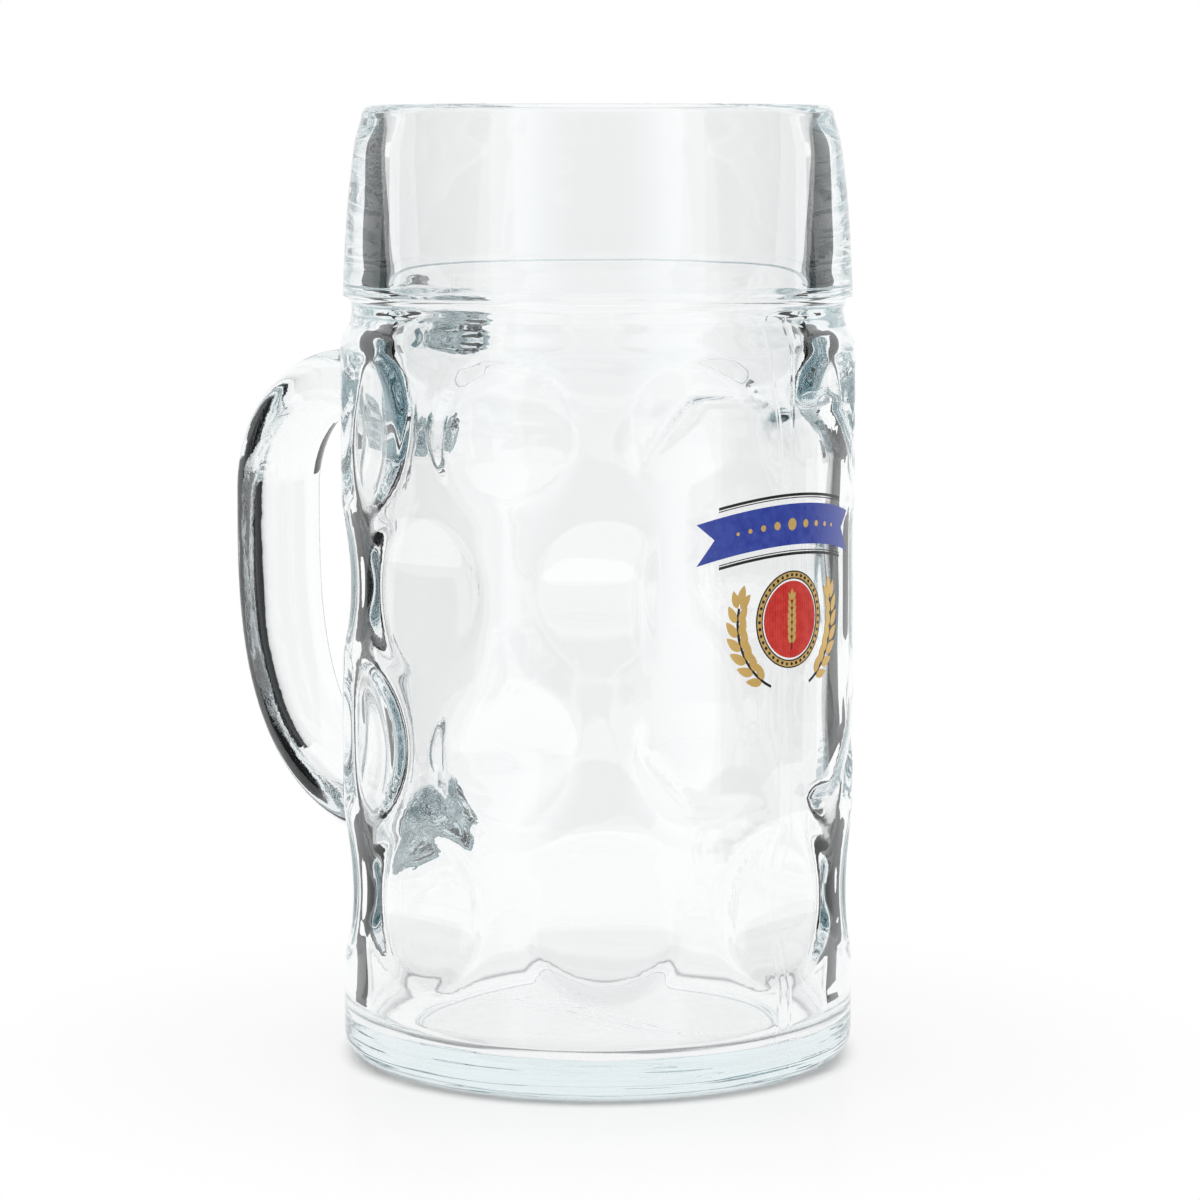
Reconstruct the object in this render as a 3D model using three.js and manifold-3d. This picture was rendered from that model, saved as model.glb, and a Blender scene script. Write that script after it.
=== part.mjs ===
// One-litre dimpled beer mug: a blown glass body, a pressed glass handle and a fired enamel print.
// Millimetres, +Z up. The origin lies on the mug's axis at table height, the handle points to -X
// and the print faces +X.
import * as THREE from "three";
import { mergeVertices } from "three/addons/utils/BufferGeometryUtils.js";
import { TessellateModifier } from "three/addons/modifiers/TessellateModifier.js";
import Module from "manifold-3d";

const wasm = await Module();
wasm.setup();

// Body, outside
const HEIGHT = 202;
const BODY_RADIUS = 54.5;
const FOOT_ROUND = 5.5;
const STANDING_RING = 9;
const BASE_RECESS = 1;
const BAND_HEIGHT = 39.8;
const BAND_RADIUS = 53.9;
const BAND_BULGE = 0.7;
const RIM_RADIUS = 49.7;
const RIM_WALL = 6.2;
const GROOVE_RADIUS = 52.1;
const GROOVE_DROP = 3;
const SHOULDER_DROP = 11.7;

// Body, inside
const WALL = 7.5;
const FLOOR = 8.5;
const FLOOR_ROUND = 9;
const BAND_WALL = 7.8;
const NECK_WALL = 10.2;
const NECK_RISE = 1.5;
const NECK_LENGTH = 16;

// Dimples, in staggered rows round the wall
const DIMPLES_PER_ROW = 8;
const DIMPLE_RADIUS = 17.5;
const DIMPLE_LIP = 3;
const DIMPLE_DEPTH = 3.2;
const DIMPLE_INSIDE = 1.5;
const LOWEST_ROW = 37.5;
const ROW_PITCH = 32.5;

// Smooth places that the dimples leave free: the print panel and the strip under the handle
const PANEL_WIDTH = 66;
const PANEL_BOTTOM = 61;
const PANEL_HEIGHT = 80;
const PANEL_CORNER = 11;
const STRIP_MARGIN = 3;
const SOFT_EDGE = 2.5;

// Handle
const HANDLE_THICKNESS = 13.6;
const HANDLE_WIDTH = 21;
const HANDLE_SQUARENESS = 2.4;
const HANDLE_REACH = 46.7;
const HANDLE_CORNER = 26.5;
const HANDLE_TOP_DROP = 8.9;
const HANDLE_FOOT_HEIGHT = 43;
const HANDLE_FOOT_SLOPE = THREE.MathUtils.degToRad(4.5);
const SWEEP_DOWN = 23;
const SWEEP_IN = 50;
const JOINT_FLARE = 2.2;
const JOINT_LENGTH = 14;
const JOINT_GAP = 0.3;
const JOINT_SINK = 6;

// Print, a thin enamel layer on the panel
const PRINT_GAP = 0.3;
const PRINT_THICKNESS = 0.35;
const PRINT_HEIGHT = 106;
const RIBBON_LENGTH = 48;
const RIBBON_WIDTH = 8.4;
const RIBBON_ARCH = 3.2;
const RIBBON_NOTCH = 4;
const RIBBON_RISE = 11;
const RULE_LENGTH = 38;
const RULE_WIDTH = 1;
const RULE_GAP = 1.1;
const MEDAL_DROP = 8.5;
const MEDAL_RADIUS = 10;
const MEDAL_RIM = 1.7;
const MIDDLE_EAR_LENGTH = 12.4;
const MIDDLE_EAR_WIDTH = 4.6;
const SIDE_EAR_WIDTH = 5.2;
const SIDE_EAR_CLEAR = 2;
const SIDE_EAR_START = THREE.MathUtils.degToRad(-66);
const SIDE_EAR_END = THREE.MathUtils.degToRad(30);
const GRAINS = 6;
const GRAIN_WAIST = 0.72;
const INK_GAP = 0.4;

// Fineness of the facets
const ROUND_STEPS = 72;
const OUTSIDE_STEPS = 8;
const INSIDE_STEPS = 2;
const HANDLE_STEPS = 34;
const SECTION_STEPS = 18;
const FACET_EDGE = 6;
const SPLIT_ROUNDS = 10;
const ARC_STEPS = 4;
const SHOULDER_STEPS = 5;
const GROOVE_STEPS = 3;
const BAND_STEPS = 5;
const LIP_STEPS = 6;
const MOUTH_STEPS = 6;
const RIBBON_STEPS = 12;
const GRAIN_STEPS = 4;
const MEDAL_STEPS = 9;
const WELD = 1e-4;

// Heights and radii that follow from the sizes above
const BAND_FOOT = HEIGHT - BAND_HEIGHT;
const GROOVE_HEIGHT = BAND_FOOT - GROOVE_DROP;
const SHOULDER = BAND_FOOT - SHOULDER_DROP;
const LIP = RIM_WALL / 2;
const BORE = BODY_RADIUS - WALL;
const ROWS = Math.floor((GROOVE_HEIGHT - DIMPLE_RADIUS - LOWEST_ROW) / ROW_PITCH) + 1;

const point = (radius, height) => new THREE.Vector2(radius, height);

// Points of an arc in the profile plane, with both ends
function arc(radius, height, size, from, to, steps) {
  const curve = new THREE.EllipseCurve(radius, height, size, size, from, to, to < from);
  return curve.getPoints(steps);
}

// Heights up the dimpled wall, at a number of steps to a row
function wallHeights(bottom, top, steps) {
  const heights = [];
  const step = ROW_PITCH / steps;
  for (let z = LOWEST_ROW - ROW_PITCH; z < top - step / 2; z += step) {
    if (z > bottom + step / 2) {
      heights.push(z);
    }
  }
  return heights;
}

// Outside of the body from the middle of the base to the rim
function outerProfile() {
  const ringEdge = BODY_RADIUS - FOOT_ROUND;
  const ringInside = ringEdge - STANDING_RING;
  const foot = arc(ringEdge, FOOT_ROUND, FOOT_ROUND, -Math.PI / 2, 0, ARC_STEPS);
  const wall = wallHeights(FOOT_ROUND, SHOULDER, OUTSIDE_STEPS);
  const middle = (SHOULDER + GROOVE_HEIGHT) / 2;
  const shoulder = new THREE.CubicBezierCurve(
    point(BODY_RADIUS, SHOULDER),
    point(BODY_RADIUS, middle),
    point(GROOVE_RADIUS, middle),
    point(GROOVE_RADIUS, GROOVE_HEIGHT),
  );
  const groove = new THREE.QuadraticBezierCurve(
    point(GROOVE_RADIUS, GROOVE_HEIGHT),
    point(GROOVE_RADIUS, BAND_FOOT),
    point(BAND_RADIUS, BAND_FOOT),
  );
  const bandMiddle = (BAND_FOOT + HEIGHT - LIP) / 2;
  const band = new THREE.QuadraticBezierCurve(
    point(BAND_RADIUS, BAND_FOOT),
    point((BAND_RADIUS + RIM_RADIUS) / 2 + 2 * BAND_BULGE, bandMiddle),
    point(RIM_RADIUS, HEIGHT - LIP),
  );
  return [
    point(0, BASE_RECESS),
    point(ringInside - BASE_RECESS, BASE_RECESS),
    point(ringInside, 0),
    ...foot,
    ...wall.map((z) => point(BODY_RADIUS, z)),
    ...shoulder.getPoints(SHOULDER_STEPS),
    ...groove.getPoints(GROOVE_STEPS).slice(1),
    ...band.getPoints(BAND_STEPS).slice(1),
  ];
}

// Rounded rim and the inside of the body down to the middle of the floor
function innerProfile() {
  const lip = arc(RIM_RADIUS - LIP, HEIGHT - LIP, LIP, 0, Math.PI, LIP_STEPS);
  const neck = BAND_FOOT + NECK_RISE;
  const neckFoot = neck - NECK_LENGTH;
  const bandMiddle = (BAND_FOOT + HEIGHT) / 2;
  const bandRadius = (BAND_RADIUS + RIM_RADIUS) / 2 + BAND_BULGE;
  const mouth = new THREE.SplineCurve([
    point(RIM_RADIUS - RIM_WALL, HEIGHT - LIP),
    point(bandRadius - BAND_WALL, bandMiddle),
    point(GROOVE_RADIUS - NECK_WALL, neck),
    point(BORE, neckFoot),
  ]);
  const bend = FLOOR + FLOOR_ROUND;
  const wall = wallHeights(bend, neckFoot, INSIDE_STEPS).reverse();
  const corner = arc(BORE - FLOOR_ROUND, bend, FLOOR_ROUND, 0, -Math.PI / 2, ARC_STEPS);
  return [
    ...lip.slice(1),
    ...mouth.getPoints(MOUTH_STEPS).slice(1),
    ...wall.map((z) => point(BORE, z)),
    ...corner,
    point(0, FLOOR),
  ];
}

// Keeps the places alone and joins the points that facets share
function welded(geometry) {
  geometry.deleteAttribute("normal");
  geometry.deleteAttribute("uv");
  return mergeVertices(geometry, WELD);
}

function solidOf(geometry) {
  const shared = welded(geometry);
  return new wasm.Manifold(
    new wasm.Mesh({
      numProp: 3,
      vertProperties: Float32Array.from(shared.attributes.position.array),
      triVerts: Uint32Array.from(shared.index.array),
    }),
  );
}

function geometryOf(solid) {
  const mesh = solid.getMesh();
  const geometry = new THREE.BufferGeometry();
  geometry.setAttribute("position", new THREE.BufferAttribute(mesh.vertProperties, 3));
  geometry.setIndex(new THREE.BufferAttribute(mesh.triVerts, 1));
  return geometry;
}

// Middles of all dimples as angle and height
function dimplePlaces() {
  const places = [];
  const pitch = (2 * Math.PI) / DIMPLES_PER_ROW;
  for (let row = 0; row < ROWS; row += 1) {
    const stagger = (row % 2) / 2;
    for (let i = 0; i < DIMPLES_PER_ROW; i += 1) {
      const angle = (i + stagger) * pitch;
      places.push({ angle, height: LOWEST_ROW + row * ROW_PITCH });
    }
  }
  return places;
}

const DIMPLES = dimplePlaces();

// Smallest turn between two directions round the axis
function turnBetween(angle, other) {
  return Math.abs(Math.atan2(Math.sin(angle - other), Math.cos(angle - other)));
}

// Depth of one dimple at a distance from its middle: a hollow cap with a rounded lip
function capDepth(distance) {
  const share = Math.min(distance / DIMPLE_RADIUS, 1);
  const bend = 1 - DIMPLE_LIP / DIMPLE_RADIUS;
  const cap = 1 - share ** 2 / bend;
  const lip = (1 - share) ** 2 / (1 - bend);
  return share < bend ? cap : lip;
}

// 0 on the panel, a rectangle with cut corners, and 1 clear of it
function clearOfPanel(angle, z) {
  const side = turnBetween(angle, 0) * BODY_RADIUS - PANEL_WIDTH / 2;
  const end = Math.abs(z - PANEL_BOTTOM - PANEL_HEIGHT / 2) - PANEL_HEIGHT / 2;
  const corner = (side + end + PANEL_CORNER) / Math.SQRT2;
  return THREE.MathUtils.smoothstep(Math.max(side, end, corner), 0, SOFT_EDGE);
}

// 0 on the strip under the handle and 1 clear of it
function clearOfStrip(angle) {
  const half = HANDLE_WIDTH / 2 + JOINT_FLARE + STRIP_MARGIN;
  return THREE.MathUtils.smoothstep(turnBetween(angle, Math.PI) * BODY_RADIUS - half, 0, SOFT_EDGE);
}

// Share of the full dimple depth at a place on the wall
function dimpleShare(angle, z) {
  const depths = DIMPLES.map((dimple) => {
    const across = turnBetween(angle, dimple.angle) * BODY_RADIUS;
    return capDepth(Math.hypot(across, z - dimple.height));
  });
  return Math.max(...depths) * clearOfPanel(angle, z) * clearOfStrip(angle);
}

// Body: one closed profile turned round the axis and pressed in at the dimples
function bodyGeometry() {
  const outside = outerProfile();
  const profile = [...outside, ...innerProfile()];
  const geometry = new THREE.LatheGeometry(profile, ROUND_STEPS);
  geometry.rotateX(Math.PI / 2);
  const places = geometry.attributes.position;
  for (let i = 0; i < places.count; i += 1) {
    const radius = Math.hypot(places.getX(i), places.getY(i));
    if (radius > BORE - WELD) {
      const angle = Math.atan2(places.getY(i), places.getX(i));
      const isOutside = i % profile.length < outside.length;
      const depth = isOutside ? DIMPLE_DEPTH : DIMPLE_INSIDE;
      const scale = 1 - (depth * dimpleShare(angle, places.getZ(i))) / radius;
      places.setX(i, places.getX(i) * scale);
      places.setY(i, places.getY(i) * scale);
    }
  }
  return welded(geometry);
}

// Splits the long facets of a flat form, so that it can be bent
function fine(flat) {
  return new TessellateModifier(FACET_EDGE, SPLIT_ROUNDS).modify(flat);
}

// Bends a flat form round a cylinder: x runs round it, y up it and z out of it
function bent(flat, radius, angle, height) {
  const places = flat.attributes.position;
  for (let i = 0; i < places.count; i += 1) {
    const turn = angle + places.getX(i) / radius;
    const out = radius + places.getZ(i);
    places.setXYZ(i, out * Math.cos(turn), out * Math.sin(turn), height + places.getY(i));
  }
  return flat;
}

// Centre line of the handle in its upright plane: out from the wall, round a corner, down and in
function handlePath() {
  const top = SHOULDER - HANDLE_TOP_DROP;
  const reach = BODY_RADIUS + HANDLE_REACH;
  const slopeIn = Math.tan(HANDLE_FOOT_SLOPE);
  const path = new THREE.Path();
  path.moveTo(BODY_RADIUS - JOINT_SINK, top);
  path.lineTo(reach - HANDLE_CORNER, top);
  path.absarc(reach - HANDLE_CORNER, top - HANDLE_CORNER, HANDLE_CORNER, Math.PI / 2, 0, true);
  path.bezierCurveTo(
    reach,
    top - HANDLE_CORNER - SWEEP_DOWN,
    BODY_RADIUS + SWEEP_IN * Math.cos(HANDLE_FOOT_SLOPE),
    HANDLE_FOOT_HEIGHT + SWEEP_IN * Math.sin(HANDLE_FOOT_SLOPE),
    BODY_RADIUS,
    HANDLE_FOOT_HEIGHT,
  );
  path.lineTo(BODY_RADIUS - JOINT_SINK, HANDLE_FOOT_HEIGHT - JOINT_SINK * slopeIn);
  return path;
}

// One ring of the handle's flattened oval section
function handleRing(centre, along, flare) {
  const ring = [];
  const halfThickness = HANDLE_THICKNESS / 2 + flare;
  const halfWidth = HANDLE_WIDTH / 2 + flare;
  for (let i = 0; i < SECTION_STEPS; i += 1) {
    const turn = (-2 * Math.PI * i) / SECTION_STEPS;
    const rounded = (value) => Math.sign(value) * Math.abs(value) ** (2 / HANDLE_SQUARENESS);
    const out = halfThickness * rounded(Math.cos(turn));
    const side = halfWidth * rounded(Math.sin(turn));
    ring.push(-centre.x - along.y * out, side, centre.y - along.x * out);
  }
  return ring;
}

// Closed skin over rings of equal count, with a flat end on the first and the last
function loft(rings, count) {
  const index = [];
  for (let r = 0; r + 1 < rings.length; r += 1) {
    for (let i = 0; i < count; i += 1) {
      const a = r * count + i;
      const b = r * count + ((i + 1) % count);
      index.push(a, b, b + count, a, b + count, a + count);
    }
  }
  const last = (rings.length - 1) * count;
  for (let i = 1; i + 1 < count; i += 1) {
    index.push(0, i + 1, i, last, last + i, last + i + 1);
  }
  const geometry = new THREE.BufferGeometry();
  geometry.setAttribute("position", new THREE.Float32BufferAttribute(rings.flat(), 3));
  geometry.setIndex(index);
  return geometry;
}

// Handle: the section lofted along its path, wider at both joints and cut to fit the wall
function handleGeometry() {
  const path = handlePath();
  const length = path.getLength();
  const rings = [];
  for (let i = 0; i <= HANDLE_STEPS; i += 1) {
    const share = i / HANDLE_STEPS;
    const fromEnd = Math.min(share, 1 - share) * length - JOINT_SINK;
    const flare = JOINT_FLARE * (1 - THREE.MathUtils.smoothstep(fromEnd, 0, JOINT_LENGTH));
    rings.push(handleRing(path.getPointAt(share), path.getTangentAt(share), flare));
  }
  const wall = BODY_RADIUS + JOINT_GAP;
  const seat = new THREE.CylinderGeometry(wall, wall, 2 * HEIGHT, ROUND_STEPS);
  seat.rotateX(Math.PI / 2);
  return geometryOf(solidOf(loft(rings, SECTION_STEPS)).subtract(solidOf(seat)));
}

// Thin layer of enamel on the wall
function printed(shape) {
  const flat = new THREE.ExtrudeGeometry(shape, {
    depth: PRINT_THICKNESS,
    bevelEnabled: false,
    curveSegments: MEDAL_STEPS,
  });
  return welded(bent(fine(flat), BODY_RADIUS + PRINT_GAP, 0, PRINT_HEIGHT));
}

// Arched band between two heights, with straight or notched ends
function archedBand(length, low, high, notch) {
  const arch = (x) => -RIBBON_ARCH * ((2 * x) / RIBBON_LENGTH) ** 2;
  const upper = [];
  const lower = [];
  for (let i = 0; i <= RIBBON_STEPS; i += 1) {
    const x = length * (i / RIBBON_STEPS - 0.5);
    upper.push(point(x, RIBBON_RISE + high + arch(x)));
    lower.unshift(point(x, RIBBON_RISE + low + arch(x)));
  }
  const end = length / 2 - notch;
  const middle = RIBBON_RISE + (low + high) / 2;
  const right = notch > 0 ? [point(end, middle + arch(end))] : [];
  const left = notch > 0 ? [point(-end, middle + arch(end))] : [];
  return new THREE.Shape([...upper, ...right, ...lower, ...left]);
}

// Outline of an ear of barley: rows of grains swell out on both sides of a curved middle line
function earOutline(curve, width, grow) {
  const steps = GRAINS * GRAIN_STEPS;
  const left = [];
  const right = [];
  for (let i = 1; i < steps; i += 1) {
    const share = i / steps;
    const swell = Math.abs(Math.sin(Math.PI * GRAINS * share));
    const grain = GRAIN_WAIST + (1 - GRAIN_WAIST) * swell;
    const taper = Math.sqrt(Math.sin(Math.PI * share));
    const half = (width / 2) * grain * taper + grow;
    const centre = curve.getPoint(share);
    const along = curve.getTangent(share);
    right.push(point(centre.x + along.y * half, centre.y - along.x * half));
    left.unshift(point(centre.x - along.y * half, centre.y + along.x * half));
  }
  const reach = (share, sign) =>
    curve.getPoint(share).addScaledVector(curve.getTangent(share), sign * grow);
  return [reach(0, -1), ...right, reach(1, 1), ...left];
}

function ear(curve, width) {
  return new THREE.Shape(earOutline(curve, width, 0));
}

function middleEar() {
  const half = MIDDLE_EAR_LENGTH / 2;
  return new THREE.LineCurve(point(0, -MEDAL_DROP - half), point(0, -MEDAL_DROP + half));
}

// Middle line of a side ear, which curves up round the medal
function sideEar(side) {
  const radius = MEDAL_RADIUS + SIDE_EAR_CLEAR + SIDE_EAR_WIDTH / 2;
  const from = side > 0 ? SIDE_EAR_START : Math.PI - SIDE_EAR_START;
  const to = side > 0 ? SIDE_EAR_END : Math.PI - SIDE_EAR_END;
  return new THREE.EllipseCurve(0, -MEDAL_DROP, radius, radius, from, to, side < 0);
}

function disc(radius) {
  return new THREE.Shape().absarc(0, -MEDAL_DROP, radius, 0, 2 * Math.PI, false);
}

function medalRim() {
  const shape = disc(MEDAL_RADIUS);
  shape.holes.push(disc(MEDAL_RADIUS - MEDAL_RIM));
  return shape;
}

function medalField() {
  const shape = disc(MEDAL_RADIUS - MEDAL_RIM - INK_GAP);
  shape.holes.push(new THREE.Path(earOutline(middleEar(), MIDDLE_EAR_WIDTH, INK_GAP)));
  return shape;
}

// Finishes, each with its own look
const glass = new THREE.MeshStandardMaterial({
  color: 0xdfeae8,
  roughness: 0.03,
  metalness: 0,
  transparent: true,
  opacity: 0.35,
});
const handleGlass = glass.clone();
handleGlass.roughness = 0.06;
const enamel = (color) => new THREE.MeshStandardMaterial({ color, roughness: 0.35, metalness: 0 });
const gold = new THREE.MeshStandardMaterial({ color: 0xc79a3a, roughness: 0.3, metalness: 0.8 });
const red = enamel(0xc22a26);
const blue = enamel(0x23389c);
const black = enamel(0x141416);

const mug = new THREE.Group();

function addPiece(name, geometry, material) {
  const mesh = new THREE.Mesh(geometry, material);
  mesh.name = name;
  mug.add(mesh);
}

const ribbonHalf = RIBBON_WIDTH / 2;
const ruleEdge = ribbonHalf + RULE_GAP;
const ribbon = archedBand(RIBBON_LENGTH, -ribbonHalf, ribbonHalf, RIBBON_NOTCH);
const ruleUpper = archedBand(RULE_LENGTH, ruleEdge, ruleEdge + RULE_WIDTH, 0);
const ruleLower = archedBand(RULE_LENGTH, -ruleEdge - RULE_WIDTH, -ruleEdge, 0);

addPiece("mug_body", bodyGeometry(), glass);
addPiece("handle", handleGeometry(), handleGlass);
addPiece("print_blue_ribbon", printed(ribbon), blue);
addPiece("print_black_rule_upper", printed(ruleUpper), black);
addPiece("print_black_rule_lower", printed(ruleLower), black);
addPiece("print_gold_rim", printed(medalRim()), gold);
addPiece("print_red_field", printed(medalField()), red);
addPiece("print_gold_ear_middle", printed(ear(middleEar(), MIDDLE_EAR_WIDTH)), gold);
addPiece("print_gold_ear_left", printed(ear(sideEar(-1), SIDE_EAR_WIDTH)), gold);
addPiece("print_gold_ear_right", printed(ear(sideEar(1), SIDE_EAR_WIDTH)), gold);

export default mug;
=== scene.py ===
"""Looks of a one-litre dimpled beer mug: blown glass, a pressed handle and a fired enamel print."""

import math

import bmesh
import bpy
from mathutils import Matrix, Vector, noise


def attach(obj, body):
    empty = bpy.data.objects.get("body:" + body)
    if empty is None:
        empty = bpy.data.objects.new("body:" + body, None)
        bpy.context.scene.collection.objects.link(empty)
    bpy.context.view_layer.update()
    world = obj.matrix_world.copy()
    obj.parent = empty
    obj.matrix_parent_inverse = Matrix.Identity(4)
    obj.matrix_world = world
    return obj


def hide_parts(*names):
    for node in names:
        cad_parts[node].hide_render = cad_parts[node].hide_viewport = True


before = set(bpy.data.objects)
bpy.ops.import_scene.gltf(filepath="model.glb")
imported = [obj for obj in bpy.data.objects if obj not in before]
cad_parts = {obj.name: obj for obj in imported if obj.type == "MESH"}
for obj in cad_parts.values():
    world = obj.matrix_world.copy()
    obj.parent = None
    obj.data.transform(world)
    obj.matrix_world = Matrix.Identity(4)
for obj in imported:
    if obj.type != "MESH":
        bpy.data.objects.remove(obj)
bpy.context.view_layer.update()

MM = 0.001
MERGE_REACH = 1e-7
CUT_REACH = 1e-5

# Outside of the body in millimetres, as in the part's source
HEIGHT = 202
BODY_RADIUS = 54.5
FOOT_ROUND = 5.5
STANDING_RING = 9
BASE_RECESS = 1
BAND_FOOT = 162.2
BAND_RADIUS = 53.9
RIM_RADIUS = 49.7
GROOVE_RADIUS = 52.1
GROOVE_HEIGHT = 159.2
SHOULDER = 150.5
BAND_LINE = [
    (53.75, 166), (53.5, 171), (53.2, 176), (52.8, 181), (52.3, 186), (51.7, 191), (51, 195.2),
]
TURN_STEPS = 208

# Inside of the body, with a finer profile than the part's source
RIM_WALL = 4.4
BORE = 49.2
FLOOR = 8
FLOOR_ROUND = 5
MOUTH_LINE = [
    (45.6, 196), (45.9, 190), (45.9, 184), (45.7, 178), (45.4, 171), (45.1, 166.5), (44.9, 163.4),
    (44.1, 160.9), (43.1, 158.6), (42.8, 156.4), (43.3, 153.2), (44.8, 148), (46.5, 142.5), (48.1, 137),
]
BORE_TOP = 130
INSIDE_WAVE = 0.25
INSIDE_WAVE_LENGTH = 22

# Dimples and the smooth places between them
DIMPLES_PER_ROW = 8
DIMPLE_RADIUS = 17.5
DIMPLE_LIP = 2.6
DIMPLE_DEPTH = 3.2
DIMPLE_INSIDE = 3.6
LOWEST_ROW = 37.5
ROW_PITCH = 32.5
ROWS = 4
PANEL_WIDTH = 66
PANEL_BOTTOM = 61
PANEL_HEIGHT = 80
PANEL_CORNER = 11
SOFT_EDGE = 2.5
STRIP_HALF = 15.7

# Handle
HANDLE_THICKNESS = 13.6
HANDLE_WIDTH = 21
HANDLE_SQUARENESS = 2.4
HANDLE_TOP = 141.6
HANDLE_REACH = 101.2
HANDLE_CORNER = 26.5
HANDLE_FOOT = 43
HANDLE_SLOPE = math.radians(4.5)
SWEEP_DOWN = 23
SWEEP_IN = 50
JOINT_FLARE = 2.2
JOINT_LENGTH = 14
JOINT_BEAD = 1.0
JOINT_BEAD_LENGTH = 3.5
JOINT_SINK = 0.3
HANDLE_RINGS = 120
HANDLE_SIDES = 56
END_RINGS = (0.8, 0.6, 0.4, 0.2)

# Print, a fired enamel layer on the smooth panel
PRINT_HEIGHT = 106
ENAMEL_IN = 0.05
ENAMEL_OUT = 0.08
FIRST_FIRING = 0.02
SECOND_FIRING = 0.05
OVERLAP = 0.01
BEND_STEP = 1.2
RIBBON_LENGTH = 48
RIBBON_WIDTH = 8.4
RIBBON_ARCH = 3.2
RIBBON_NOTCH = 4
RIBBON_RISE = 11
RIBBON_KEYLINE = 0.45
RIBBON_MARGIN = 0.5
RIBBON_HAIRLINE = 0.28
RIBBON_DOTS = [(0, 1.25), (4.4, 0.85), (8.2, 0.65), (11.6, 0.5), (14.6, 0.38)]
DOT_KEYLINE = 0.22
DOT_SIDES = 28
RULE_LENGTH = 38
RULE_WIDTH = 1
RULE_GAP = 1.1
RULE_BOLD = 0.58
RULE_FINE = 0.2
MEDAL_DROP = 8.5
MEDAL_RADIUS = 10
MEDAL_RIM = 1.7
MEDAL_KEYLINE = 0.28
MEDAL_RIM_SIDES = 96
MEDAL_FIELD_SIDES = 72
MEDAL_BEADS = 40
BEAD_RADIUS = 0.34
BEAD_SIDES = 12
INK_GAP = 0.4
MIDDLE_EAR_LENGTH = 12.4
SIDE_EAR_RADIUS = 14.6
SIDE_EAR_START = math.radians(-66)
SIDE_EAR_END = math.radians(30)
GRAIN_PAIRS = 7
GRAIN_KEYLINE = 0.15
GRAIN_TILT = math.radians(27)
GRAIN_FULLNESS = 0.8
GRAIN_STEPS = 9

# Sizes of an ear of barley as shares of the pitch of its grains
EAR_ENDS = 1.3
FIRST_PAIR = 0.9
PAIR_PITCH = 0.98
GRAIN_LENGTH = 1.5
GRAIN_WIDTH = 0.68
TIP_LENGTH = 1.35
TIP_WIDTH = 0.62
TIP_BACK = 0.7
STEM_HALF = 0.09
GRAIN_SPREAD = 1.6
EAR_TAPER = 0.25
EAR_FULLEST = 0.35
STEM_REACH = 0.82
STEM_STEPS = 12

# Colour of the glass and its depth, and marks of the mould
GLASS_TINT = (0.5, 0.7, 0.745, 1)
BODY_TINT = 4.2
HANDLE_TINT = 3.4
SEAM_HALF = 0.8
SEAM_HEIGHT = 0.035
STREAK_TOP = 16
STREAK_FULL = 7
STREAK_HEIGHT = 0.34
WRINKLE_REACH = 20
WRINKLE_FULL = 10
WRINKLE_HEIGHT = 2.6

# Camera of the photograph
VIEW_TURN = math.radians(43.5)
VIEW_DROP = math.radians(6.42)
VIEW_DISTANCE = 860
VIEW_HEIGHT = 194
VIEW_LENS = 121.7
VIEW_SHIFT = 0.0018
VIEW_SENSOR = 36
NEAREST_SEEN = 0.01

# Times that light may turn inside the glass
LIGHT_BOUNCES = 48

# Glowing white floor and the shade on it in metres: a faint wide one and a dark line under the foot,
# both partly the mug's real shadow and partly painted shade, as there the glow gives way to a lit
# surface that is darker than the glow even out of shadow
FLOOR_REACH = 0.9
SHADOW_AND_PAINTED_SHADE_REACH = 0.16
SHADOW_AND_PAINTED_SHADE_SHARE = 0.25
CONTACT_RADIUS = 0.0515
CONTACT_WIDTH = 0.0055
CONTACT_SHADOW_AND_PAINTED_SHADE_SHARE = 0.7

# Dark cards round the mug: reach from its axis, foot and top in metres,
# then (angle off the view's far side, tone) from edge to edge
BAND_CARD = (0.2, 0.118, 0.169, [(41.5, 0.012), (69, 0.012)])
WALL_CARD = (0.15, 0.0, 0.288, [(53.5, 0.012), (69, 0.012)])
FOOT_CARD = (0.095, 0.0, 0.034, [(62, 0.012), (74, 0.012)])
SIDE_CARD = (0.38, 0.0, 0.74, [(72, 0.4), (78, 0.05), (90, 0.03), (122, 0.03), (128, 0.3)])
FRONT_CARD = (
    0.38, 0.0, 0.63,
    [(138, 1.0), (152, 0.55), (166, 0.2), (194, 0.2), (208, 0.55), (222, 1.0)],
)
CARD_STEPS = 40
CARD_TINT = (0.86, 0.95, 1.0, 1)


def smoothstep(value, low, high):
    """Soft step from 0 at low to 1 at high."""
    share = min(max((value - low) / (high - low), 0.0), 1.0)
    return share * share * (3 - 2 * share)


def bezier(points, steps):
    """Points of a curve with two ends and one or two handles."""
    curve = []
    for i in range(steps + 1):
        level = [Vector(p) for p in points]
        while len(level) > 1:
            level = [a.lerp(b, i / steps) for a, b in zip(level, level[1:])]
        curve.append(tuple(level[0]))
    return curve


def arc(centre, radius, start, end, steps):
    """Points of part of a circle."""
    angles = [start + (end - start) * i / steps for i in range(steps + 1)]
    return [(centre[0] + radius * math.cos(a), centre[1] + radius * math.sin(a)) for a in angles]


def flowing(points, steps):
    """Smooth curve through all the points."""
    ends = [points[0], *points, points[-1]]
    curve = []
    for i in range(len(points) - 1):
        a, b, c, d = (Vector(p) for p in ends[i:i + 4])
        for k in range(steps):
            t = k / steps
            place = 2 * b + (c - a) * t + (2 * a - 5 * b + 4 * c - d) * t ** 2
            place += (3 * b - a - 3 * c + d) * t ** 3
            curve.append(tuple(place / 2))
    return [*curve, tuple(points[-1])]


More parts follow.
